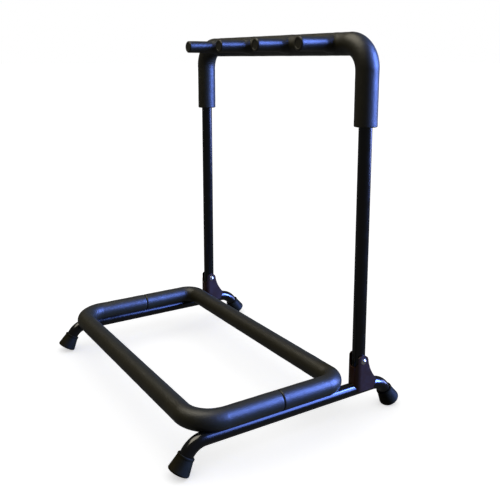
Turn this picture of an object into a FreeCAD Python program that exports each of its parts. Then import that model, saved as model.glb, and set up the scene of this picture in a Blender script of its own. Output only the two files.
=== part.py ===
import FreeCAD, Part

import math
import os

import Sketcher

# Folding floor rack for three guitars. Millimetres, +Z up, +X to the right, the player's side at -Y.
# The origin is on the floor, at the middle of the rectangle that the four feet stand on.
# Two floor legs run front to back. A padded loop lies on them, and an inverted-U upright stands in
# two hinge brackets near their rear ends. The upright folds forward onto the loop.

SIZES = [
    ("leg_spacing", 450.0),       # between the two floor legs, and between the two posts
    ("tube_diameter", 19.0),      # outside diameter of every frame tube
    ("tube_wall", 1.2),
    ("upright_bend", 36.0),       # centreline radius of the upright's corners
    ("leg_height", 41.0),         # floor to leg axis
    ("leg_reach", 141.0),         # middle of the leg to the start of its end bend
    ("leg_bend_radius", 29.5),
    ("foot_tilt", 31.5),          # lean of each leg end from the vertical, in degrees
    ("leg_end_run", 21.0),        # straight tube after the end bend
    ("foot_radius", 14.9),        # at the sole
    ("foot_neck_radius", 11.4),
    ("foot_length", 23.6),
    ("foot_sole", 4.0),           # rubber under the tube's end
    ("foot_edge", 2.5),
    ("foot_lip", 0.4),            # the lip round the mouth stands this far out
    ("foot_lip_height", 2.6),
    ("post_y", 114.5),            # post axis behind the origin
    ("bar_rise", 495.0),          # leg axis to top bar axis
    ("pivot_rise", 44.5),         # leg axis to hinge axis
    ("post_overhang", 30.0),      # post tube below the hinge axis
    ("bar_foam_radius", 16.25),
    ("bar_foam_drop", 112.0),     # top bar axis to the lower ends of its foam
    ("foam_fit", 0.15),           # radial gap between a foam sleeve and its tube
    ("loop_front", -152.0),       # loop axis, front bar
    ("loop_rear", 77.3),          # loop axis, rear bar
    ("loop_front_bend", 42.0),    # centreline radius of the loop's front corners
    ("loop_rear_bend", 24.0),
    ("loop_rise", 19.0),          # leg axis to loop axis: the tubes touch
    ("loop_seam", -25.5),         # where the loop's two halves meet
    ("loop_foam_radius", 14.4),
    ("leg_groove", 0.3),          # clearance of the foam's groove around the leg
    ("seam_gap", 0.4),
    ("joiner_length", 56.0),
    ("screw_offset", 42.0),       # loop screws in front of and behind the seam
    ("screw_radius", 2.5),
    ("screw_head_radius", 4.6),
    ("screw_head_height", 2.8),
    ("screw_access", 5.2),        # radius of the hole in the leg's underside that lets the head in
    ("insert_radius", 3.8),
    ("insert_length", 9.0),
    ("insert_sink", 0.8),         # the insert starts this far inside the loop tube's underside
    ("peg_spacing", 108.6),
    ("peg_reach", 71.0),          # top bar axis to a peg's tip
    ("peg_rod_radius", 5.0),
    ("peg_foam_radius", 10.2),
    ("peg_root_radius", 12.6),    # where a peg's foam swells against the bar's foam
    ("peg_tip_foam", 5.0),
    ("peg_edge", 2.2),
    ("peg_swell", 12.0),          # length of the swelling
    ("sheet_thickness", 2.0),
    ("post_play", 0.4),           # between a post and the bracket around it
    ("bracket_corner", 8.0),
    ("bracket_tail", 26.0),       # post axis to the foot of the gusset
    ("bracket_heel", 20.0),       # post axis to the lower rear corner
    ("bracket_skirt", 1.0),       # side plates reach this far below the leg axis
    ("ear_radius", 9.0),
    ("gusset_foot", 12.5),        # leg axis to the foot of the gusset
    ("gusset_radius", 60.0),
    ("pivot_radius", 3.0),
    ("pivot_play", 0.05),
    ("rivet_head_radius", 4.6),
    ("rivet_head_height", 2.6),
    ("plug_stem", 14.0),
    ("plug_flange", 1.5),
    ("plug_bevel", 0.5),
]


class Size:
    """A length with its value and the spreadsheet expression that it comes from."""

    def __init__(self, value, text):
        self.value = value
        self.text = text

    def _join(self, other, sign, value):
        return Size(value, "(%s %s %s)" % (self.text, sign, as_size(other).text))

    def __add__(self, other):
        return self._join(other, "+", self.value + as_size(other).value)

    def __sub__(self, other):
        return self._join(other, "-", self.value - as_size(other).value)

    def __mul__(self, number):
        return self._join(number, "*", self.value * number)

    def __truediv__(self, number):
        return self._join(number, "/", self.value / number)

    def __neg__(self):
        return Size(-self.value, "(0 - %s)" % self.text)


def as_size(number):
    return number if isinstance(number, Size) else Size(float(number), repr(float(number)))


def other_leg(hypotenuse, leg):
    """The other short side of a right-angled triangle."""
    value = math.sqrt(hypotenuse.value ** 2 - leg.value ** 2)
    return Size(value, "sqrt((%s)^2 - (%s)^2)" % (hypotenuse.text, leg.text))


doc = FreeCAD.newDocument("GuitarRack")
sheet = doc.addObject("Spreadsheet::Sheet", "Sizes")
S = {}
for row, (alias, number) in enumerate(SIZES, start=1):
    sheet.set("A%d" % row, alias)
    sheet.set("B%d" % row, str(number))
    sheet.setAlias("B%d" % row, alias)
    S[alias] = Size(number, "Sizes." + alias)
doc.recompute()

TUBE_RADIUS = S["tube_diameter"] / 2
TUBE_BORE = TUBE_RADIUS - S["tube_wall"]
HALF_SPACING = S["leg_spacing"] / 2
PLATE_INNER = TUBE_RADIUS + S["post_play"]
PLATE_OUTER = PLATE_INNER + S["sheet_thickness"]
SIDES = (("left", -1), ("right", 1))
DIAGONAL = math.sqrt(0.5)
CLEAR = 5.0                       # how far a cut runs past the piece
SUBPARTS = []


# ---- drawing helpers -------------------------------------------------------------------------

def origin_plane(body, role):
    return next(item for item in body.Origin.OriginFeatures if item.Role == role)


def new_body(label, x=0.0, y=0.0, z=0.0):
    """A body whose placement is bound to the sheet."""
    body = doc.addObject("PartDesign::Body", label)
    body.Label = label
    for axis, offset in zip("xyz", (x, y, z)):
        body.setExpression("Placement.Base." + axis, as_size(offset).text)
    SUBPARTS.append(body)
    return body


def new_sketch(body, role, name):
    sketch = body.newObject("Sketcher::SketchObject", body.Name + name)
    sketch.AttachmentSupport = [(origin_plane(body, role), "")]
    sketch.MapMode = "FlatFace"
    return sketch


def bind(sketch, kind, *references_and_size):
    """Add a dimension whose value follows the sheet. A negative distance is measured from its other end."""
    references, size = list(references_and_size[:-1]), as_size(references_and_size[-1])
    if kind in ("DistanceX", "DistanceY") and size.value < 0:
        if len(references) == 4:
            references = references[2:] + references[:2]
            size = -size
    index = sketch.addConstraint(Sketcher.Constraint(kind, *references, size.value))
    sketch.setExpression("Constraints[%d]" % index, size.text)


def pin(sketch, shape, end, x, y):
    """Fix one point of a shape at a distance from the sketch's origin."""
    x, y = as_size(x), as_size(y)
    if x.value == 0 and y.value == 0:
        sketch.addConstraint(Sketcher.Constraint("Coincident", shape, end, -1, 1))
        return
    if x.value == 0:
        sketch.addConstraint(Sketcher.Constraint("PointOnObject", shape, end, -2))
    else:
        bind(sketch, "DistanceX", -1, 1, shape, end, x)
    if y.value == 0:
        sketch.addConstraint(Sketcher.Constraint("PointOnObject", shape, end, -1))
    else:
        bind(sketch, "DistanceY", -1, 1, shape, end, y)


def point(x, y):
    return FreeCAD.Vector(as_size(x).value, as_size(y).value, 0)


def circle(sketch, x, y, radius):
    shape = sketch.addGeometry(Part.Circle(point(x, y), FreeCAD.Vector(0, 0, 1), radius.value), False)
    pin(sketch, shape, 3, x, y)
    bind(sketch, "Radius", shape, radius)


def outline(sketch, steps):
    """A closed outline. Each step is a point (x, y), or (x, y, bulge x, bulge y) where an arc through
    the bulge point leads to it from the point before. Every vertex is bound to the sheet."""
    start = steps[-1][:2]
    shapes = []
    for step in steps:
        first, last = point(*start), point(*step[:2])
        ends = (1, 2)
        if len(step) == 2:
            index = sketch.addGeometry(Part.LineSegment(first, last), False)
        else:
            bulge = point(*step[2:])
            if (bulge - first).cross(last - bulge).z < 0:
                first, last, ends = last, first, (2, 1)
            index = sketch.addGeometry(Part.Arc(first, bulge, last), False)
        shapes.append((index, ends, step))
        start = step[:2]
    for place, (index, ends, step) in enumerate(shapes):
        following, next_ends, _ = shapes[(place + 1) % len(shapes)]
        sketch.addConstraint(Sketcher.Constraint("Coincident", index, ends[1], following, next_ends[0]))
        pin(sketch, index, ends[1], step[0], step[1])
        if len(step) == 4:
            sketch.addConstraint(Sketcher.Constraint("Radius", index, sketch.Geometry[index].Radius))


def profile_ring(body, role, name, x, y, outer, inner):
    """Two circles about one centre: the section of a tube or a sleeve."""
    sketch = new_sketch(body, role, name)
    circle(sketch, x, y, outer)
    circle(sketch, x, y, inner)
    return sketch


def bent_path(sketch, start, corner, turn, radius, last_run):
    """A straight run from start, an arc, and a second straight run of the length last_run. The turn is
    an angle in degrees, positive to the left."""
    x0, y0 = (as_size(value).value for value in start)
    x1, y1 = (as_size(value).value for value in corner)
    heading = math.atan2(y1 - y0, x1 - x0)
    side = 1 if turn.value > 0 else -1
    ahead = FreeCAD.Vector(math.cos(heading), math.sin(heading), 0)
    across = FreeCAD.Vector(-ahead.y, ahead.x, 0) * side
    angle = math.radians(abs(turn.value))
    arc_start = FreeCAD.Vector(x1, y1, 0)
    centre = arc_start + across * radius.value
    arc_end = centre + ahead * radius.value * math.sin(angle) - across * radius.value * math.cos(angle)
    arc_middle = centre + ahead * radius.value * math.sin(angle / 2)
    arc_middle = arc_middle - across * radius.value * math.cos(angle / 2)
    onward = ahead * math.cos(angle) + across * math.sin(angle)
    sketch.addGeometry(Part.LineSegment(point(x0, y0), arc_start), False)
    arc = (arc_start, arc_middle, arc_end) if side > 0 else (arc_end, arc_middle, arc_start)
    sketch.addGeometry(Part.Arc(*arc), False)
    sketch.addGeometry(Part.LineSegment(arc_end, arc_end + onward * last_run.value), False)
    near, far = (1, 2) if side > 0 else (2, 1)
    pin(sketch, 0, 1, *start)
    pin(sketch, 0, 2, *corner)
    sketch.addConstraint(Sketcher.Constraint("Tangent", 0, 2, 1, near))
    sketch.addConstraint(Sketcher.Constraint("Tangent", 1, far, 2, 1))
    bind(sketch, "Radius", 1, radius)
    bind(sketch, "Distance", 2, last_run)
    return onward


def pipe(body, profile, path):
    feature = body.newObject("PartDesign::AdditivePipe", body.Name + "Pipe")
    feature.Profile = profile
    feature.Spine = path
    return feature


def mirrored(body, feature, role):
    """The other half of a symmetric piece."""
    mirror = body.newObject("PartDesign::Mirrored", body.Name + "Mirrored")
    mirror.Originals = [feature]
    mirror.MirrorPlane = (origin_plane(body, role), [""])
    body.Tip = mirror
    doc.recompute()
    return mirror


def pad(body, sketch, length, both_ways=False, backwards=False):
    feature = body.newObject("PartDesign::Pad", sketch.Name + "Pad")
    feature.Profile = sketch
    feature.SideType = "Symmetric" if both_ways else "One side"
    feature.Reversed = backwards
    feature.setExpression("Length", as_size(length).text)
    doc.recompute()
    return feature


def pocket(body, sketch, length=None, backwards=False):
    """Cut a sketch out of the body: right through both ways, or to a depth on one side. The piece must
    lose material."""
    before = body.Shape.Volume
    feature = body.newObject("PartDesign::Pocket", sketch.Name + "Pocket")
    feature.Profile = sketch
    if length is None:
        feature.Type = "ThroughAll"
        feature.SideType = "Symmetric"
    else:
        feature.Reversed = backwards
        feature.setExpression("Length", as_size(length).text)
    doc.recompute()
    if not body.Shape.Volume < before - 0.01:
        raise RuntimeError("%s cuts nothing" % feature.Name)
    return feature


def revolve(body, sketch, axis):
    feature = body.newObject("PartDesign::Revolution", sketch.Name + "Revolution")
    feature.Profile = sketch
    feature.ReferenceAxis = (sketch, [axis])
    feature.Angle = 360
    doc.recompute()
    return feature


# ---- floor legs and feet ---------------------------------------------------------------------

def screw_places():
    """Distances of the loop's two screws on a leg from the origin, along the leg."""
    return (S["loop_seam"] - S["screw_offset"], S["loop_seam"] + S["screw_offset"])


def floor_leg(label, side):
    """A straight tube with both ends bent down, drilled for the loop's two screws."""
    body = new_body(label, HALF_SPACING * side, 0, S["leg_height"])
    profile = profile_ring(body, "XZ_Plane", "Section", 0, 0, TUBE_RADIUS, TUBE_BORE)
    path = new_sketch(body, "YZ_Plane", "Path")
    turn = S["foot_tilt"] - 90
    bent_path(path, (0, 0), (S["leg_reach"], 0), turn, S["leg_bend_radius"], S["leg_end_run"])
    lean = path.addConstraint(Sketcher.Constraint("Angle", 2, math.radians(turn.value)))
    path.setExpression("Constraints[%d]" % lean, turn.text)
    mirrored(body, pipe(body, profile, path), "XZ_Plane")
    above = new_sketch(body, "XY_Plane", "ScrewHoles")
    below = new_sketch(body, "XY_Plane", "AccessHoles")
    for place in screw_places():
        circle(above, 0, place, S["screw_radius"] + S["pivot_play"])
        circle(below, 0, place, S["screw_access"])
    pocket(body, above, TUBE_RADIUS + CLEAR, backwards=True)
    pocket(body, below, TUBE_RADIUS + CLEAR)


def leg_end():
    """Where the tube's axis ends: distance from the leg's middle, and distance below the leg axis."""
    tilt = math.radians(S["foot_tilt"].value)
    radius = S["leg_bend_radius"].value
    run = S["leg_end_run"].value
    reach = S["leg_reach"].value + radius * math.cos(tilt) + run * math.sin(tilt)
    drop = radius * (1 - math.sin(tilt)) + run * math.cos(tilt)
    return reach, drop


def rubber_foot(label, side, end):
    """A cap over the leg's end, with a lip round its mouth. Its sole is pressed flat on the floor."""
    reach, drop = leg_end()
    tilt = math.radians(S["foot_tilt"].value)
    sole = S["foot_sole"].value
    body = doc.addObject("PartDesign::Body", label)
    body.Label = label
    SUBPARTS.append(body)
    height = S["leg_height"].value - drop - sole * math.cos(tilt)
    body.setExpression("Placement.Base.x", (HALF_SPACING * side).text)
    body.Placement.Base.y = end * (reach + sole * math.sin(tilt))
    body.Placement.Base.z = height
    body.Placement.Rotation = FreeCAD.Rotation(FreeCAD.Vector(1, 0, 0), end * S["foot_tilt"].value)

    length, edge = S["foot_length"], S["foot_edge"]
    neck, foot = S["foot_neck_radius"], S["foot_radius"]
    lip = neck + S["foot_lip"]
    bore = TUBE_RADIUS + S["pivot_play"]
    slant = edge.value * (1 - DIAGONAL)
    section = new_sketch(body, "XZ_Plane", "Section")
    outline(section, [
        (0, 0),
        (foot - edge, 0),
        (foot, edge, foot - slant, slant),
        (neck, length - S["foot_lip_height"] - S["foot_lip"]),
        (lip, length - S["foot_lip_height"]),
        (lip, length - S["foot_lip"]),
        (neck, length),
        (bore, length),
        (bore, S["foot_sole"]),
        (0, S["foot_sole"]),
    ])
    revolve(body, section, "V_Axis")

    floor = new_sketch(body, "YZ_Plane", "Floor")
    wide = foot.value + CLEAR
    fall = math.tan(tilt) * end * wide
    level = -height / math.cos(tilt)
    outline(floor, [
        (-wide, level + fall),
        (-wide, level + fall - wide),
        (wide, level - fall - wide),
        (wide, level - fall),
    ])
    pocket(body, floor)


# ---- hinge brackets, rivets and post plugs ---------------------------------------------------

def hollow_middle(start, end, radius):
    """The middle of an arc that hollows out the straight line from start to end."""
    start, end = point(*start), point(*end)
    along = end - start
    depth = radius.value - math.sqrt(radius.value ** 2 - along.Length ** 2 / 4)
    inward = FreeCAD.Vector(along.y, -along.x, 0).normalize()
    middle = (start + end) / 2 + inward * depth
    return middle.x, middle.y


def hinge_bracket(label, side):
    """A stamped channel. Its side plates straddle the leg and carry the post between two round ears.
    The rounded front web stands on the leg and stops the post from leaning back. A round-bottomed notch
    in the web lets the post fold forward."""
    body = new_body(label, HALF_SPACING * side, S["post_y"], S["leg_height"])
    ear, rise, corner = S["ear_radius"], S["pivot_rise"], S["bracket_corner"]
    low = -S["bracket_skirt"]
    top = rise + ear
    gusset = [(ear, rise), (S["bracket_tail"], S["gusset_foot"])]

    plates = new_sketch(body, "YZ_Plane", "Plates")
    outline(plates, [
        (-PLATE_OUTER, low),
        (-PLATE_OUTER, rise),
        (0, top, -PLATE_OUTER * DIAGONAL, rise + ear * DIAGONAL),
        (ear, rise, ear * DIAGONAL, rise + ear * DIAGONAL),
        (*gusset[1], *hollow_middle(*gusset, S["gusset_radius"])),
        (S["bracket_heel"], low),
    ])
    pad(body, plates, PLATE_OUTER * 2, both_ways=True)

    corners = new_sketch(body, "XY_Plane", "FrontCorners")
    inset = PLATE_OUTER - corner
    slant = inset + corner * DIAGONAL
    past = PLATE_OUTER + CLEAR
    for sign in (-1, 1):
        outline(corners, [
            (inset * sign, -PLATE_OUTER, slant * sign, -slant),
            (inset * sign, -past),
            (past * sign, -past),
            (past * sign, -inset),
            (PLATE_OUTER * sign, -inset),
        ])
    pocket(body, corners)

    channel = new_sketch(body, "XY_Plane", "Channel")
    half = PLATE_INNER
    inset = half - corner + S["sheet_thickness"]
    slant = inset + (half - inset) * DIAGONAL
    back = S["bracket_tail"] + CLEAR
    outline(channel, [
        (-half, -inset),
        (-inset, -half, -slant, -slant),
        (inset, -half),
        (half, -inset, slant, -slant),
        (half, back),
        (-half, back),
    ])
    pocket(body, channel)

    notch = new_sketch(body, "XZ_Plane", "Notch")
    outline(notch, [
        (-half, top + CLEAR),
        (-half, rise),
        (0, rise - half, -half * DIAGONAL, rise - half * DIAGONAL),
        (half, rise, half * DIAGONAL, rise - half * DIAGONAL),
        (half, top + CLEAR),
    ])
    pocket(body, notch, PLATE_OUTER + CLEAR, backwards=True)

    saddle = new_sketch(body, "XZ_Plane", "Saddle")
    circle(saddle, 0, 0, TUBE_RADIUS)
    pocket(body, saddle)
    hole = new_sketch(body, "YZ_Plane", "PivotHole")
    circle(hole, 0, rise, S["pivot_radius"] + S["pivot_play"])
    pocket(body, hole)


def hinge_rivet(label, side):
    """A shank right through the bracket and the post, with a domed head at each end."""
    body = new_body(label, HALF_SPACING * side, S["post_y"], S["leg_height"] + S["pivot_rise"])
    grip, shank = PLATE_OUTER, S["pivot_radius"]
    head, dome = S["rivet_head_radius"], S["rivet_head_height"]
    sphere = (head.value ** 2 + dome.value ** 2) / (2 * dome.value)
    half_angle = math.asin(head.value / sphere) / 2
    inset = sphere * (1 - math.cos(half_angle))
    swell = sphere * math.sin(half_angle)
    section = new_sketch(body, "XZ_Plane", "Section")
    outline(section, [
        (-grip - dome, 0),
        (-grip, head, -grip - dome + inset, swell),
        (-grip, shank),
        (grip, shank),
        (grip, head),
        (grip + dome, 0, grip + dome - inset, swell),
    ])
    revolve(body, section, "H_Axis")


def post_plug(label, side):
    """A plastic plug that closes the post's lower end."""
    end = S["leg_height"] + S["pivot_rise"] - S["post_overhang"]
    body = new_body(label, HALF_SPACING * side, S["post_y"], end)
    stem, bevel = TUBE_BORE - S["pivot_play"], S["plug_bevel"]
    section = new_sketch(body, "XZ_Plane", "Section")
    outline(section, [
        (0, -S["plug_flange"]),
        (TUBE_RADIUS - bevel, -S["plug_flange"]),
        (TUBE_RADIUS, 0),
        (stem, 0),
        (stem, S["plug_stem"] - bevel * 2),
        (stem - bevel * 2, S["plug_stem"]),
        (0, S["plug_stem"]),
    ])
    revolve(body, section, "V_Axis")


# ---- upright ---------------------------------------------------------------------------------

def upright_section(body, outer, inner, drop):
    """Half of the inverted U, from the middle of the top bar down one post, and its mirror image."""
    profile = profile_ring(body, "YZ_Plane", "Section", 0, 0, outer, inner)
    path = new_sketch(body, "XZ_Plane", "Path")
    radius = S["upright_bend"]
    bent_path(path, (0, 0), (HALF_SPACING - radius, 0), as_size(-90), radius, drop - radius)
    path.addConstraint(Sketcher.Constraint("Vertical", 2))
    mirrored(body, pipe(body, profile, path), "YZ_Plane")


def upright_tube(label):
    body = new_body(label, 0, S["post_y"], S["leg_height"] + S["bar_rise"])
    to_pivot = S["bar_rise"] - S["pivot_rise"]
    upright_section(body, TUBE_RADIUS, TUBE_BORE, to_pivot + S["post_overhang"])
    holes = new_sketch(body, "YZ_Plane", "PivotHoles")
    circle(holes, 0, -to_pivot, S["pivot_radius"] + S["pivot_play"])
    pocket(body, holes)


def peg_places():
    """The four pegs' distances from the middle of the top bar. They leave three spaces for necks."""
    return [S["peg_spacing"] * step for step in (-1.5, -0.5, 0.5, 1.5)]


def upright_foam(label):
    """The sleeve over the top bar, both bends and the upper posts, with a hole for each peg."""
    body = new_body(label, 0, S["post_y"], S["leg_height"] + S["bar_rise"])
    upright_section(body, S["bar_foam_radius"], TUBE_RADIUS + S["foam_fit"], S["bar_foam_drop"])
    holes = new_sketch(body, "XZ_Plane", "PegHoles")
    for place in peg_places():
        circle(holes, place, 0, S["peg_rod_radius"] + S["foam_fit"])
    pocket(body, holes, S["bar_foam_radius"] + CLEAR, backwards=True)


def peg_rod(label, place):
    """A round rod, its root cut to the top bar's curve and welded there."""
    body = new_body(label, place, S["post_y"], S["leg_height"] + S["bar_rise"])
    section = new_sketch(body, "XZ_Plane", "Section")
    circle(section, 0, 0, S["peg_rod_radius"])
    pad(body, section, S["peg_reach"] - S["peg_tip_foam"])
    root = new_sketch(body, "YZ_Plane", "Root")
    circle(root, 0, 0, TUBE_RADIUS)
    pocket(body, root)


def peg_sleeve(label, place):
    """A foam sleeve with a closed, rounded tip. Its root swells where it meets the bar's foam."""
    body = new_body(label, place, S["post_y"], S["leg_height"] + S["bar_rise"])
    reach, edge = S["peg_reach"], S["peg_edge"]
    outer, root = S["peg_foam_radius"], S["peg_root_radius"]
    bore = S["peg_rod_radius"] + S["foam_fit"]
    swell_end = S["bar_foam_radius"] + S["peg_swell"]
    swell_middle = swell_end - S["peg_swell"] * 0.6
    closed = reach - S["peg_tip_foam"] + S["foam_fit"]
    inside = S["bar_foam_radius"] / 2
    slant = edge.value * (1 - DIAGONAL)
    section = new_sketch(body, "XY_Plane", "Section")
    outline(section, [
        (bore, -inside),
        (bore, -closed),
        (0, -closed),
        (0, -reach),
        (outer - edge, -reach),
        (outer, -reach + edge, outer - slant, -reach + slant),
        (outer, -swell_end),
        (root, -S["bar_foam_radius"], outer + (root - outer) * 0.2, -swell_middle),
        (root, -inside),
    ])
    revolve(body, section, "V_Axis")
    seat = new_sketch(body, "YZ_Plane", "Seat")
    circle(seat, 0, 0, S["bar_foam_radius"] + S["foam_fit"])
    pocket(body, seat)


# ---- base loop -------------------------------------------------------------------------------

LOOP_Z = S["leg_height"] + S["loop_rise"]


def loop_half(body, end_bar, radius, outer, inner, gap):
    """Half of the loop: from the middle of its front or rear bar round one corner to the seam, and its
    mirror image. The front half's sides run back and the rear half's sides run forward."""
    direction = 1 if end_bar.value < S["loop_seam"].value else -1
    profile = profile_ring(body, "YZ_Plane", "Section", end_bar, 0, outer, inner)
    path = new_sketch(body, "XY_Plane", "Path")
    side_run = (S["loop_seam"] - end_bar) * direction - radius - gap
    bent_path(path, (0, end_bar), (HALF_SPACING - radius, end_bar), as_size(90 * direction), radius, side_run)
    path.addConstraint(Sketcher.Constraint("Vertical", 2))
    mirrored(body, pipe(body, profile, path), "YZ_Plane")


def loop_tube(label, end_bar, radius, screw):
    body = new_body(label, 0, 0, LOOP_Z)
    loop_half(body, end_bar, radius, TUBE_RADIUS, TUBE_BORE, as_size(0))
    holes = new_sketch(body, "XY_Plane", "InsertHoles")
    for side in (-1, 1):
        circle(holes, HALF_SPACING * side, screw, S["insert_radius"])
    pocket(body, holes, TUBE_RADIUS + CLEAR)


def loop_foam(label, end_bar, radius, screw):
    """A foam sleeve over half of the loop. A groove under its sides sits over the floor legs."""
    body = new_body(label, 0, 0, LOOP_Z)
    bore = TUBE_RADIUS + S["foam_fit"]
    loop_half(body, end_bar, radius, S["loop_foam_radius"], bore, S["seam_gap"] / 2)
    groove = new_sketch(body, "XZ_Plane", "LegGroove")
    for side in (-1, 1):
        circle(groove, HALF_SPACING * side, -S["loop_rise"], TUBE_RADIUS + S["leg_groove"])
    pocket(body, groove)
    holes = new_sketch(body, "XY_Plane", "InsertHoles")
    for side in (-1, 1):
        circle(holes, HALF_SPACING * side, screw, S["insert_radius"] + S["foam_fit"])
    pocket(body, holes, S["loop_foam_radius"])


def loop_joiner(label, side):
    """A short inner tube that the two halves' ends are pushed over."""
    body = new_body(label, HALF_SPACING * side, S["loop_seam"], LOOP_Z)
    outer = TUBE_BORE - S["pivot_play"]
    section = profile_ring(body, "XZ_Plane", "Section", 0, 0, outer, outer - S["tube_wall"])
    pad(body, section, S["joiner_length"], both_ways=True)


def four_copies(label, section_of, height):
    """A turned piece repeated at the loop's four fixing places."""
    body = new_body(label, 0, S["loop_seam"], height)
    body.AllowCompound = True
    across = new_sketch(body, "XZ_Plane", "Section")
    across.setExpression("AttachmentOffset.Base.x", HALF_SPACING.text)
    across.setExpression("AttachmentOffset.Base.z", S["screw_offset"].text)
    outline(across, section_of())
    first = revolve(body, across, "V_Axis")
    repeat = body.newObject("PartDesign::MultiTransform", label + "Copies")
    steps = []
    for role in ("YZ_Plane", "XZ_Plane"):
        step = body.newObject("PartDesign::Mirrored", label + role[:2])
        step.MirrorPlane = (origin_plane(body, role), [""])
        steps.append(step)
    repeat.Originals = [first]
    repeat.Transformations = steps
    body.Tip = repeat
    doc.recompute()


def screw_section():
    """Pan head up inside the leg, against its upper wall, and a shank that runs on into the loop's
    threaded insert."""
    head, tall, shank = S["screw_head_radius"], S["screw_head_height"], S["screw_radius"]
    seat = other_leg(TUBE_BORE, head) - S["pivot_play"]
    tip = TUBE_RADIUS + S["insert_length"] - S["insert_sink"]
    return [
        (0, seat - tall),
        (head * 0.6, seat - tall),
        (head, seat - tall * 0.4, head * 0.9, seat - tall * 0.8),
        (head, seat),
        (shank, seat),
        (shank, tip),
        (0, tip),
    ]


def insert_section():
    """A threaded sleeve pressed into the underside of the loop tube."""
    bore = S["screw_radius"] + S["pivot_play"]
    return [
        (bore, S["insert_sink"]),
        (S["insert_radius"], S["insert_sink"]),
        (S["insert_radius"], S["insert_length"]),
        (bore, S["insert_length"]),
    ]


for side_name, side_sign in SIDES:
    floor_leg(side_name + "_floor_leg", side_sign)
    for end_name, end_sign in (("front", -1), ("rear", 1)):
        rubber_foot("%s_%s_foot" % (end_name, side_name), side_sign, end_sign)
    hinge_bracket(side_name + "_hinge_bracket", side_sign)
    hinge_rivet(side_name + "_hinge_rivet", side_sign)
    post_plug(side_name + "_post_plug", side_sign)
    loop_joiner(side_name + "_loop_joiner", side_sign)

upright_tube("upright_tube")
upright_foam("upright_foam")
for number, peg_place in enumerate(peg_places(), start=1):
    peg_rod("neck_peg_rod_%d" % number, peg_place)
    peg_sleeve("neck_peg_sleeve_%d" % number, peg_place)

FRONT_SCREW, REAR_SCREW = screw_places()
loop_tube("loop_front_tube", S["loop_front"], S["loop_front_bend"], FRONT_SCREW)
loop_tube("loop_rear_tube", S["loop_rear"], S["loop_rear_bend"], REAR_SCREW)
loop_foam("loop_front_foam", S["loop_front"], S["loop_front_bend"], FRONT_SCREW)
loop_foam("loop_rear_foam", S["loop_rear"], S["loop_rear_bend"], REAR_SCREW)
four_copies("loop_fixing_screws", screw_section, S["leg_height"])
four_copies("loop_threaded_inserts", insert_section, LOOP_Z - TUBE_RADIUS)

doc.recompute()
for item in doc.Objects:
    if "Invalid" in item.State or "Error" in item.State:
        raise RuntimeError("%s is %s" % (item.Name, item.State))
for body in SUBPARTS:
    if body.Shape.isNull() or not body.Shape.isValid() or not body.Shape.Solids:
        raise RuntimeError("%s has no valid shape" % body.Label)

os.makedirs("parts", exist_ok=True)
for body in SUBPARTS:
    body.Shape.exportStep("parts/%s.step" % body.Label)
    print("%-24s %2d solid(s) %10.1f mm3" % (body.Label, len(body.Shape.Solids), body.Shape.Volume))
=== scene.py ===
import math

import bpy
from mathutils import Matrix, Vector, noise


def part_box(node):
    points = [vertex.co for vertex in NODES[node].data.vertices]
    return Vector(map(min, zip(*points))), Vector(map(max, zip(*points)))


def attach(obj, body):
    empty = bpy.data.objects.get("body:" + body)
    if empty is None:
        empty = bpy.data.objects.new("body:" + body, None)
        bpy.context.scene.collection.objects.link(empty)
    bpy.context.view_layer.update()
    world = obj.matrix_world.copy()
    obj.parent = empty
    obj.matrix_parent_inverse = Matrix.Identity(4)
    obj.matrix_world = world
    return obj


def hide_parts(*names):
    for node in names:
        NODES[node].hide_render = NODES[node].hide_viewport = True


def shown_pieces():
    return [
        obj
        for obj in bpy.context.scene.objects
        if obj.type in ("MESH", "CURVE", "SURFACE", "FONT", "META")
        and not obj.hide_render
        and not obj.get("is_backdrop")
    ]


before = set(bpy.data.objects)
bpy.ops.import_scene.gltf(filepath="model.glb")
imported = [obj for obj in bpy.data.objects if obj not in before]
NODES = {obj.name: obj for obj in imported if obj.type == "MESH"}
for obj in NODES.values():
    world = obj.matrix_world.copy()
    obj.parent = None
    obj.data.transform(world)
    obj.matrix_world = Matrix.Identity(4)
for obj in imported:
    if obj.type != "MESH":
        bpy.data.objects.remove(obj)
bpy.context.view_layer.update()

# Looks for the folding guitar rack. Metres, in the CAD frame. The tubes, feet, brackets, rivets and
# fixings are the CAD's own; the foam sleeves are modelled here.

AROUND = 72                # points round a foam section
SMOOTH_ANGLE = 38          # degrees; sharper edges stay crisp

# ---- places taken from the frame -------------------------------------------------------------

low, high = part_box("upright_tube")
TUBE_RADIUS = (high.y - low.y) / 2
HALF_SPACING = high.x - TUBE_RADIUS
POST_Y = (low.y + high.y) / 2
BAR_Z = high.z - TUBE_RADIUS
LEG_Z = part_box("left_floor_leg")[1].z - TUBE_RADIUS

FOAM_FIT = 0.00015         # radial gap between a sleeve and its tube
UPRIGHT_BEND = 0.036       # centreline radii of the corners
LOOP_FRONT_BEND = 0.042
LOOP_REAR_BEND = 0.024
GROOVE_CLEARANCE = 0.0003  # radial gap between the loop's foam and a leg
LEG_CUT_END = 0.3          # the groove cutters run past both ends of the loop
LINE_STEP = 0.003          # spacing of a sleeve's rings in straight runs and in bends
ARC_STEP = 0.0012
CUT_ROUND = 0.0012         # rounded edge where the upright's sleeve was cut
SEAM_ROUND = 0.0020        # the same at the loop's seams
UPRIGHT_SWELL = 0.0005     # extra thickness in the bends
LOOP_SWELL = 0.0003
CREASE_DEPTH = 0.00045     # creases on the inner side of the bends
CREASE_RATE = 950
UNEVENNESS = ((0.00016, 55.0), (0.00007, 190.0))    # height and frequency of each layer
FADE_LENGTH = 0.006        # the unevenness fades out over this length at a cut end

COLLAR_HEIGHT = 0.0006     # the bar's foam round a peg's root
COLLAR_RADIUS = 0.0142
COLLAR_WIDTH = 0.0026

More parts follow.
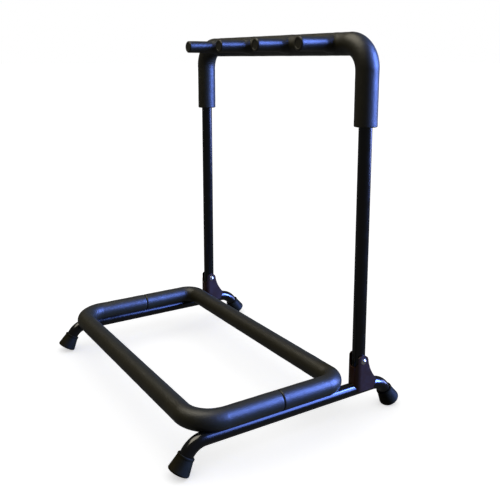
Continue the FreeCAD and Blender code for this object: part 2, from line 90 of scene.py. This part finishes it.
PEG_RADIUS = 0.0102
PEG_TIP_ROUND = 0.0022
DISH_RADIUS = 0.0068       # shallow dish in a peg's tip
DISH_DEPTH = 0.0007
DISH_EDGE = 0.0009
POLE_RADIUS = 0.0004       # smallest ring, at the middle of a closed end
ROOT_LENGTH = 0.012        # swollen part next to the bar
ROOT_RINGS = 14
ROOT_GAP = 0.0002          # between a peg's root and the bar's foam
ROOT_FLARE = 0.0011
BORE_RING = -0.03          # a ring part way along a peg's bore, measured from the bar's axis
PEG_UNEVENNESS = (0.00012, 90.0)


# ---- foam sleeves ----------------------------------------------------------------------------

def ease(t):
    t = min(1.0, max(0.0, t))
    return t * t * (3 - 2 * t)


def rounded_corner_path(corners, radius, line_step, arc_step):
    """Samples along straight runs joined by arcs: place, direction, distance, and share of bend."""
    places = [Vector(c) for c in corners]
    samples, travelled = [], 0.0
    here = places[0]
    for index in range(1, len(places)):
        ahead = (places[index] - places[index - 1]).normalized()
        last = index == len(places) - 1
        stop = places[index] if last else places[index] - ahead * radius
        run = (stop - here).length
        count = max(2, round(run / line_step))
        for k in range(count):
            t = k / count
            samples.append((here.lerp(stop, t), ahead, travelled + run * t, None))
        travelled += run
        if last:
            samples.append((stop, ahead, travelled, None))
            break
        onward = (places[index + 1] - places[index]).normalized()
        centre = stop + onward * radius
        count = round(radius * math.pi / 2 / arc_step)
        for k in range(count):
            angle = math.pi / 2 * k / count
            place = centre - onward * radius * math.cos(angle) + ahead * radius * math.sin(angle)
            heading = ahead * math.cos(angle) + onward * math.sin(angle)
            samples.append((place, heading, travelled + radius * angle, (centre, k / count)))
        travelled += radius * math.pi / 2
        here = centre + ahead * radius
    return samples, travelled


def end_distances(length, edge, count=6):
    """Distances of the extra rings that round off both ends."""
    steps = [edge * (1 - math.cos(math.pi / 2 * k / count)) for k in range(count + 1)]
    return steps + [length - s for s in steps]


def sample_at(samples, distance):
    """The path's place and direction at a distance in its first or last straight run."""
    place, ahead, start, _ = samples[0] if distance < samples[-1][2] / 2 else samples[-1]
    return place + ahead * (distance - start), ahead, distance, None


def closed_grid(name, rings):
    """A mesh from rings of equal length, closed round each ring and from the last ring to the first."""
    across, along = len(rings[0]), len(rings)
    verts = [p for ring in rings for p in ring]
    faces = []
    for i in range(along):
        j = (i + 1) % along
        for a in range(across):
            b = (a + 1) % across
            faces.append((i * across + a, i * across + b, j * across + b, j * across + a))
    mesh = bpy.data.meshes.new(name)
    mesh.from_pydata([tuple(v) for v in verts], [], faces)
    mesh.validate()
    obj = bpy.data.objects.new(name, mesh)
    bpy.context.scene.collection.objects.link(obj)
    return obj


def foam_sleeve(name, corners, bend, normal, radius, edge, swell, shape=None):
    """A cut length of foam tube pulled round two bends. It is a little thicker in the bends, with soft
    creases on their inner side, and its surface isn't perfectly even."""
    samples, length = rounded_corner_path(corners, bend, LINE_STEP, ARC_STEP)
    middle = [s for s in samples if edge * 1.2 < s[2] < length - edge * 1.2]
    ends = [sample_at(samples, d) for d in end_distances(length, edge)]
    outer = sorted(middle + ends, key=lambda s: s[2])
    bore = TUBE_RADIUS + FOAM_FIT
    up = Vector(normal)
    rings = []
    for place, ahead, distance, turn in outer:
        side = ahead.cross(up)
        from_end = min(distance, length - distance, edge)
        rim = radius - edge + math.sqrt(max(0.0, edge ** 2 - (edge - from_end) ** 2))
        free = ease((min(distance, length - distance) - edge) / FADE_LENGTH)
        bent = 0.0
        if turn:
            bent = math.sin(math.pi * turn[1]) ** 0.5
            inward = (turn[0] - place).normalized()
        ring = []
        for a in range(AROUND):
            angle = 2 * math.pi * a / AROUND
            out = side * math.cos(angle) + up * math.sin(angle)
            point = place + out * rim
            extra = sum(height * noise.noise(point * rate) for height, rate in UNEVENNESS)
            if turn:
                facing = out.dot(inward)
                crease = math.sin(distance * CREASE_RATE + 2.2 * noise.noise(point * 120.0))
                extra += bent * swell * (1 - 0.4 * facing)
                extra -= bent * CREASE_DEPTH * max(0.0, facing) ** 3 * (0.5 + 0.5 * crease) ** 2
            if shape:
                extra += shape(point, out)
            ring.append(point + out * extra * free)
        rings.append(ring)
    inner = outer[::3]
    if inner[-1] != outer[-1]:
        inner.append(outer[-1])
    for place, ahead, _, _ in reversed(inner):
        side = ahead.cross(up)
        ring = []
        for a in range(AROUND):
            angle = 2 * math.pi * a / AROUND
            ring.append(place + (side * math.cos(angle) + up * math.sin(angle)) * bore)
        rings.append(ring)
    return closed_grid(name, rings)


def cylinder_between(start, end, radius, count=64):
    """A closed cylinder used only as a cutter, as vertex and face lists."""
    start, end = Vector(start), Vector(end)
    ahead = (end - start).normalized()
    side = ahead.orthogonal().normalized()
    up = ahead.cross(side)
    verts = []
    for base in (start, end):
        for a in range(count):
            angle = 2 * math.pi * a / count
            verts.append(base + (side * math.cos(angle) + up * math.sin(angle)) * radius)
    faces = [(a, (a + 1) % count, count + (a + 1) % count, count + a) for a in range(count)]
    faces += [tuple(reversed(range(count))), tuple(range(count, 2 * count))]
    return verts, faces


def cut_away(obj, cylinders):
    """Cut cylinders out of a sleeve and keep the result as its mesh."""
    for start, end, radius in cylinders:
        verts, faces = cylinder_between(start, end, radius)
        mesh = bpy.data.meshes.new("cutter")
        mesh.from_pydata([tuple(v) for v in verts], [], faces)
        cutter = bpy.data.objects.new("cutter", mesh)
        bpy.context.scene.collection.objects.link(cutter)
        modifier = obj.modifiers.new("cut", "BOOLEAN")
        modifier.operation = "DIFFERENCE"
        modifier.solver = "EXACT"
        modifier.object = cutter
        bpy.context.view_layer.update()
        finished = obj.evaluated_get(bpy.context.evaluated_depsgraph_get())
        result = bpy.data.meshes.new_from_object(finished)
        obj.modifiers.clear()
        old = obj.data
        obj.data = result
        bpy.data.meshes.remove(old)
        bpy.data.objects.remove(cutter)
        bpy.data.meshes.remove(mesh)


def smooth(obj):
    obj.data.shade_smooth()
    obj.data.set_sharp_from_angle(angle=math.radians(SMOOTH_ANGLE))


PEG_NAMES = ["neck_peg_sleeve_%d" % number for number in range(1, 5)]
PEG_BOXES = [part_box(name) for name in PEG_NAMES]
PEG_PLACES = [(lo.x + hi.x) / 2 for lo, hi in PEG_BOXES]
PEG_TIP = PEG_BOXES[0][0].y
PEG_ROOT_RADIUS = (PEG_BOXES[0][1].x - PEG_BOXES[0][0].x) / 2
rod_low, rod_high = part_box("neck_peg_rod_1")
PEG_ROD_RADIUS = (rod_high.x - rod_low.x) / 2
PEG_ROD_END = rod_low.y

foam_low, foam_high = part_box("upright_foam")
BAR_FOAM_RADIUS = (foam_high.y - foam_low.y) / 2
BAR_FOAM_LOW = foam_low.z


def collar_swell(point, out):
    """The bar's foam rises a little round the root of each peg."""
    if out.y > -0.1:
        return 0.0
    lift = 0.0
    for place in PEG_PLACES:
        from_axis = math.hypot(point.x - place, point.z - BAR_Z)
        lift += COLLAR_HEIGHT * math.exp(-((from_axis - COLLAR_RADIUS) / COLLAR_WIDTH) ** 2)
    return lift


upright_sleeve = foam_sleeve(
    "upright_foam_sleeve",
    [(-HALF_SPACING, POST_Y, BAR_FOAM_LOW), (-HALF_SPACING, POST_Y, BAR_Z),
     (HALF_SPACING, POST_Y, BAR_Z), (HALF_SPACING, POST_Y, BAR_FOAM_LOW)],
    UPRIGHT_BEND, (0, 1, 0), BAR_FOAM_RADIUS, CUT_ROUND, UPRIGHT_SWELL, collar_swell)
cut_away(upright_sleeve, [
    ((x, POST_Y - TUBE_RADIUS / 2, BAR_Z), (x, POST_Y - BAR_FOAM_RADIUS * 1.5, BAR_Z),
     PEG_ROD_RADIUS + FOAM_FIT)
    for x in PEG_PLACES
])
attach(upright_sleeve, "upright")
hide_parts("upright_foam")

insert_low, insert_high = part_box("loop_threaded_inserts")
INSERT_RADIUS = insert_high.x - HALF_SPACING
INSERT_PLACES = (insert_low.y + INSERT_RADIUS, insert_high.y - INSERT_RADIUS)


def loop_sleeve(name, node, is_front):
    """One U half of the loop's foam. The front half's seam is at its rear end, and the other way round."""
    lo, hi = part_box(node)
    radius = hi.x - HALF_SPACING
    z = hi.z - radius
    seam, bar = (hi.y, lo.y + radius) if is_front else (lo.y, hi.y - radius)
    corners = [(-HALF_SPACING, seam, z), (-HALF_SPACING, bar, z),
               (HALF_SPACING, bar, z), (HALF_SPACING, seam, z)]
    bend = LOOP_FRONT_BEND if is_front else LOOP_REAR_BEND
    obj = foam_sleeve(name, corners, bend, (0, 0, 1), radius, SEAM_ROUND, LOOP_SWELL)
    cuts = []
    for side in (-1, 1):
        x = HALF_SPACING * side
        cuts.append(((x, -LEG_CUT_END, LEG_Z), (x, LEG_CUT_END, LEG_Z), TUBE_RADIUS + GROOVE_CLEARANCE))
        y = INSERT_PLACES[0] if is_front else INSERT_PLACES[1]
        cuts.append(((x, y, LEG_Z), (x, y, z - TUBE_RADIUS * 0.9), INSERT_RADIUS + FOAM_FIT))
    cut_away(obj, cuts)
    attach(obj, "base")
    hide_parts(node)
    return obj


loop_sleeves = [
    loop_sleeve("loop_front_sleeve", "loop_front_foam", True),
    loop_sleeve("loop_rear_sleeve", "loop_rear_foam", False),
]


def peg_foam(name, node, place):
    """A peg's sleeve: a rounded tip with a shallow dish, an even body, and a root that swells and flares
    where it is pressed onto the bar's foam."""
    tip = PEG_TIP - POST_Y
    edge = PEG_TIP_ROUND
    seat = BAR_FOAM_RADIUS + ROOT_GAP
    swell_start = -(BAR_FOAM_RADIUS + ROOT_LENGTH)
    # Each entry is a ring's radius and its place along the peg, or its share of the way along the root.
    profile = [(POLE_RADIUS, tip + DISH_DEPTH)]
    for t in (0.35, 0.7, 0.9):
        profile.append((DISH_RADIUS * t, tip + DISH_DEPTH * (1 - 0.25 * t * t)))
    for k in range(1, 6):
        t = k / 6
        ring_radius = DISH_RADIUS + (DISH_EDGE * (2 * t - 1)) / 2
        profile.append((ring_radius, tip + DISH_DEPTH * 0.75 * (1 - ease(t))))
    profile.append((DISH_RADIUS + DISH_EDGE, tip))
    for k in range(9):
        angle = math.pi / 2 * k / 8
        profile.append((PEG_RADIUS - edge + edge * math.sin(angle), tip + edge * (1 - math.cos(angle))))
    for k in range(1, 12):
        profile.append((PEG_RADIUS, tip + edge + (swell_start - tip - edge) * k / 11))
    for k in range(1, ROOT_RINGS + 1):
        t = k / ROOT_RINGS
        grown = PEG_RADIUS + (PEG_ROOT_RADIUS - PEG_RADIUS) * ease(t * 1.15)
        flare = ROOT_FLARE * max(0.0, (t - 0.8) / 0.2) ** 2
        profile.append((grown + flare, (t, "root")))
    bore = PEG_ROD_RADIUS + FOAM_FIT
    bore_end = PEG_ROD_END - POST_Y - FOAM_FIT
    inside = [(bore, (1.0, "root")), (bore, BORE_RING), (bore, bore_end), (POLE_RADIUS, bore_end)]
    height, rate = PEG_UNEVENNESS
    rings = []
    for radius, along in profile + inside:
        ring = []
        for a in range(AROUND):
            angle = 2 * math.pi * a / AROUND
            dx, dz = radius * math.cos(angle), radius * math.sin(angle)
            if isinstance(along, tuple):
                root = -math.sqrt(seat ** 2 - dz ** 2)
                y = swell_start + (root - swell_start) * along[0]
            else:
                y = along
            point = Vector((place + dx, POST_Y + y, BAR_Z + dz))
            if radius > bore * 1.5:
                out = Vector((dx, 0, dz)).normalized()
                point += out * height * noise.noise(point * rate)
            ring.append(point)
        rings.append(ring)
    obj = closed_grid(name, rings)
    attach(obj, "upright")
    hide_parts(node)
    return obj


peg_sleeves = [
    peg_foam("peg_foam_sleeve_%d" % (index + 1), node, PEG_PLACES[index])
    for index, node in enumerate(PEG_NAMES)
]
foam_pieces = [upright_sleeve] + loop_sleeves + peg_sleeves
for piece in foam_pieces:
    smooth(piece)


# ---- materials -------------------------------------------------------------------------------

class Nodes:
    """A material's node tree with short calls for the nodes used here."""

    def __init__(self, name):
        self.material = bpy.data.materials.new(name)
        self.material.use_nodes = True
        self.tree = self.material.node_tree
        self.tree.nodes.clear()
        self.output = self.tree.nodes.new("ShaderNodeOutputMaterial")
        self.shader = self.tree.nodes.new("ShaderNodeBsdfPrincipled")
        self.link(self.shader.outputs[0], self.output.inputs["Surface"])
        self.place = self.tree.nodes.new("ShaderNodeTexCoord").outputs["Object"]

    def link(self, source, target):
        self.tree.links.new(source, target)

    def set(self, **values):
        for key, value in values.items():
            self.shader.inputs[key.replace("_", " ")].default_value = value

    def noise(self, scale, detail, rough, stretch=None):
        node = self.tree.nodes.new("ShaderNodeTexNoise")
        node.inputs["Scale"].default_value = scale
        node.inputs["Detail"].default_value = detail
        node.inputs["Roughness"].default_value = rough
        self.link(self.stretched(stretch), node.inputs["Vector"])
        return node.outputs["Fac"]

    def cells(self, scale):
        node = self.tree.nodes.new("ShaderNodeTexVoronoi")
        node.inputs["Scale"].default_value = scale
        self.link(self.place, node.inputs["Vector"])
        return node.outputs["Distance"]

    def stretched(self, stretch):
        if stretch is None:
            return self.place
        node = self.tree.nodes.new("ShaderNodeMapping")
        node.inputs["Scale"].default_value = stretch
        self.link(self.place, node.inputs["Vector"])
        return node.outputs["Vector"]

    def ramp(self, source, low, high, out_low=0.0, out_high=1.0):
        node = self.tree.nodes.new("ShaderNodeMapRange")
        node.interpolation_type = "SMOOTHSTEP"
        limits = (("From Min", low), ("From Max", high), ("To Min", out_low), ("To Max", out_high))
        for key, value in limits:
            node.inputs[key].default_value = value
        self.link(source, node.inputs["Value"])
        return node.outputs["Result"]

    def mix(self, share, first, second):
        node = self.tree.nodes.new("ShaderNodeMix")
        node.data_type = "RGBA"
        self.link(share, node.inputs["Factor"])
        for socket, value in ((node.inputs[6], first), (node.inputs[7], second)):
            if isinstance(value, tuple):
                socket.default_value = (*value, 1.0)
            else:
                self.link(value, socket)
        return node.outputs[2]

    def math(self, operation, first, second):
        node = self.tree.nodes.new("ShaderNodeMath")
        node.operation = operation
        for socket, value in zip(node.inputs, (first, second)):
            if isinstance(value, (int, float)):
                socket.default_value = value
            else:
                self.link(value, socket)
        return node.outputs[0]

    def axis(self, name):
        node = self.tree.nodes.new("ShaderNodeSeparateXYZ")
        self.link(self.place, node.inputs[0])
        return node.outputs[name]

    def bumps(self, *layers):
        """Each layer is a height and its depth in metres."""
        normal = None
        for height, depth in layers:
            node = self.tree.nodes.new("ShaderNodeBump")
            node.inputs["Strength"].default_value = 1.0
            node.inputs["Distance"].default_value = depth
            self.link(height, node.inputs["Height"])
            if normal:
                self.link(normal, node.inputs["Normal"])
            normal = node.outputs["Normal"]
        self.link(normal, self.shader.inputs["Normal"])


def foam_material():
    """Closed-cell foam: matt, finely pored with painted shade in the pores, a little uneven in tone, with
    rubbed, shinier patches.
    """
    m = Nodes("foam")
    blotches = m.noise(28, 5, 0.6)
    grain = m.noise(900, 3, 0.6)
    pores = m.cells(1150)
    tone = m.mix(m.ramp(blotches, 0.35, 0.7), (0.0105, 0.0090, 0.0028), (0.0155, 0.0135, 0.0048))
    # Painted shade: the base colour is darker at the pore centres, where the pore bump makes hollows.
    tone = m.mix(m.ramp(pores, 0.05, 0.32, 1.0, 0.0), tone, (0.0060, 0.0052, 0.0020))
    tone = m.mix(m.ramp(grain, 0.55, 0.8, 0.0, 0.5), tone, (0.024, 0.021, 0.0085))
    m.link(tone, m.shader.inputs["Base Color"])
    m.link(m.ramp(blotches, 0.3, 0.75, 0.47, 0.40), m.shader.inputs["Roughness"])
    m.set(Specular_IOR_Level=0.42)
    m.bumps((m.noise(70, 4, 0.5), 0.00035), (pores, 0.00012), (grain, 0.00006))
    return m.material


def paint_material(name, light, dark, rough_low, rough_high, peel_depth, shine):
    """Black powder coat: slight orange peel, fine dust and rubbed spots."""
    m = Nodes(name)
    peel = m.noise(420, 2, 0.5)
    rubbed = m.noise(65, 6, 0.65)
    dust = m.noise(1500, 3, 0.7)
    tone = m.mix(m.ramp(rubbed, 0.58, 0.78, 0.0, 0.6), dark, light)
    tone = m.mix(m.ramp(dust, 0.66, 0.8, 0.0, 0.5), tone, (0.016, 0.015, 0.010))
    m.link(tone, m.shader.inputs["Base Color"])
    m.link(m.ramp(rubbed, 0.35, 0.75, rough_low, rough_high), m.shader.inputs["Roughness"])
    m.set(Specular_IOR_Level=shine)
    m.bumps((peel, peel_depth), (dust, 0.000004))
    return m.material


def rubber_material():
    """Moulded rubber: satin, with a fine spark-eroded grain and dust towards the sole."""
    m = Nodes("foot_rubber")
    grain = m.noise(1300, 4, 0.65)
    cloud = m.noise(60, 4, 0.6)
    dusty = m.math("MULTIPLY", m.ramp(m.axis("Z"), 0.0, 0.007, 1.0, 0.0), m.ramp(cloud, 0.35, 0.7))
    tone = m.mix(m.ramp(cloud, 0.3, 0.75), (0.0075, 0.0065, 0.0022), (0.0125, 0.0108, 0.0040))
    tone = m.mix(dusty, tone, (0.045, 0.042, 0.030))
    m.link(tone, m.shader.inputs["Base Color"])
    m.link(m.ramp(cloud, 0.3, 0.75, 0.52, 0.64), m.shader.inputs["Roughness"])
    m.set(Specular_IOR_Level=0.07)
    m.bumps((grain, 0.00005), (cloud, 0.0002))
    return m.material


def metal_material(name, light, dark, rough_low, rough_high, grain_scale):
    """Plated or bare steel: brushed streaks, small stains and fine scratches."""
    m = Nodes(name)
    stain = m.noise(240, 5, 0.6)
    streak = m.noise(grain_scale, 3, 0.6, stretch=(1.0, 0.12, 1.0))
    tone = m.mix(m.ramp(stain, 0.35, 0.75), light, dark)
    m.link(tone, m.shader.inputs["Base Color"])
    m.link(m.ramp(streak, 0.3, 0.75, rough_low, rough_high), m.shader.inputs["Roughness"])
    m.set(Metallic=1.0)
    m.bumps((streak, 0.00001), (stain, 0.00002))
    return m.material


def plastic_material():
    """Matt moulded plastic with a fine grain."""
    m = Nodes("plug_plastic")
    grain = m.noise(1600, 3, 0.6)
    cloud = m.noise(120, 4, 0.6)
    tone = m.mix(m.ramp(cloud, 0.3, 0.7), (0.009, 0.009, 0.009), (0.015, 0.015, 0.015))
    m.link(tone, m.shader.inputs["Base Color"])
    m.link(m.ramp(cloud, 0.3, 0.7, 0.45, 0.6), m.shader.inputs["Roughness"])
    m.bumps((grain, 0.00004))
    return m.material


foam = foam_material()
gloss = paint_material(
    "gloss_powder_coat", (0.0050, 0.0045, 0.0020), (0.0018, 0.0016, 0.0007), 0.17, 0.24, 0.00002, 0.5)
satin = paint_material(
    "satin_powder_coat", (0.028, 0.0095, 0.0038), (0.021, 0.0070, 0.0027), 0.38, 0.48, 0.00004, 0.36)
rubber = rubber_material()
rivet = metal_material("bright_rivet", (0.86, 0.86, 0.88), (0.62, 0.62, 0.64), 0.10, 0.24, 1800)
zinc = metal_material("zinc_plated_steel", (0.62, 0.61, 0.57), (0.42, 0.41, 0.38), 0.28, 0.45, 1200)
bare = metal_material("bare_steel_tube", (0.40, 0.40, 0.40), (0.22, 0.21, 0.20), 0.3, 0.5, 700)
plastic = plastic_material()

CAD_LOOKS = (
    ("foot", rubber),
    ("floor_leg", gloss),
    ("hinge_bracket", satin),
    ("hinge_rivet", rivet),
    ("post_plug", plastic),
    ("upright_tube", gloss),
    ("peg_rod", bare),
    ("loop_front_tube", bare),
    ("loop_rear_tube", bare),
    ("loop_joiner", bare),
    ("inserts", zinc),
    ("screws", zinc),
)
for name, node in NODES.items():
    look = next((material for part, material in CAD_LOOKS if part in name), foam)
    node.data.materials.clear()
    node.data.materials.append(look)
for piece in foam_pieces:
    piece.data.materials.clear()
    piece.data.materials.append(foam)


# ---- floor, light and camera -----------------------------------------------------------------

REACH = 60.0               # half the floor's width
floor_corners = [(-REACH, -REACH, 0), (REACH, -REACH, 0), (REACH, REACH, 0), (-REACH, REACH, 0)]
floor_mesh = bpy.data.meshes.new("floor")
floor_mesh.from_pydata(floor_corners, [], [(0, 1, 2, 3)])
floor = bpy.data.objects.new("floor", floor_mesh)
bpy.context.scene.collection.objects.link(floor)
floor.visible_diffuse = False
floor.visible_glossy = False
floor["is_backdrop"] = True

m = Nodes("pale_floor")
m.link(m.mix(m.noise(1.5, 4, 0.5), (0.90, 0.90, 0.90), (0.93, 0.93, 0.93)), m.shader.inputs["Base Color"])
m.set(Roughness=1.0, Specular_IOR_Level=0.0, Emission_Color=(1.0, 1.0, 1.0, 1.0), Emission_Strength=0.55)
floor_mesh.materials.append(m.material)

object_lights = bpy.data.collections.new("object_lights")
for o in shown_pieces():
    object_lights.objects.link(o)
floor_lights = bpy.data.collections.new("floor_lights")
floor_lights.objects.link(floor)


def aim(obj, target):
    obj.rotation_euler = (Vector(target) - obj.location).to_track_quat("-Z", "Y").to_euler()


def softbox(name, place, target, width, height, power, colour):
    data = bpy.data.lights.new(name, "AREA")
    data.shape = "RECTANGLE"
    data.size, data.size_y = width, height
    data.energy = power
    data.color = colour
    obj = bpy.data.objects.new(name, data)
    obj.location = place
    bpy.context.scene.collection.objects.link(obj)
    aim(obj, target)
    obj.visible_camera = False
    obj.light_linking.receiver_collection = object_lights


softbox("window", (2.08, 2.73, 1.55), (0.1, 0, 0.25), 1.0, 2.4, 840, (0.16, 0.28, 1.0))
softbox("window_edge", (2.83, 1.98, 1.55), (0.1, 0, 0.25), 1.2, 2.0, 140, (0.16, 0.28, 1.0))
softbox("window_low", (0.85, 3.2, 0.32), (-0.2, 0.1, 0.2), 0.9, 0.9, 40, (0.30, 0.40, 1.0))
softbox("room_fill", (-0.5, -0.8, 2.7), (0, 0, 0.2), 2.0, 2.0, 75, (1.0, 0.93, 0.76))

sun = bpy.data.lights.new("floor_wash", "SUN")
sun.energy = 1.6
sun.angle = math.radians(120)
sun_object = bpy.data.objects.new("floor_wash", sun)
bpy.context.scene.collection.objects.link(sun_object)
sun_object.light_linking.receiver_collection = floor_lights

world = bpy.data.worlds.new("studio")
bpy.context.scene.world = world
world.use_nodes = True
tree = world.node_tree
background = tree.nodes["Background"]
background.inputs["Color"].default_value = (1.0, 1.0, 1.0, 1.0)
ray = tree.nodes.new("ShaderNodeLightPath")
strength = tree.nodes.new("ShaderNodeMapRange")
strength.inputs["To Min"].default_value = 0.10
strength.inputs["To Max"].default_value = 1.0
tree.links.new(ray.outputs["Is Camera Ray"], strength.inputs["Value"])
tree.links.new(strength.outputs["Result"], background.inputs["Strength"])
bpy.context.scene.view_settings.view_transform = "Standard"

camera_data = bpy.data.cameras.new("camera")
camera_data.lens = 49.14
camera_data.sensor_width = 36
camera_data.shift_y = -0.13
camera = bpy.data.objects.new("camera", camera_data)
camera.location = (0.9284, -0.5169, 0.5158)
camera.rotation_euler = (math.radians(90 - 10.49), 0, math.radians(57.71))
bpy.context.scene.collection.objects.link(camera)
bpy.context.scene.camera = camera
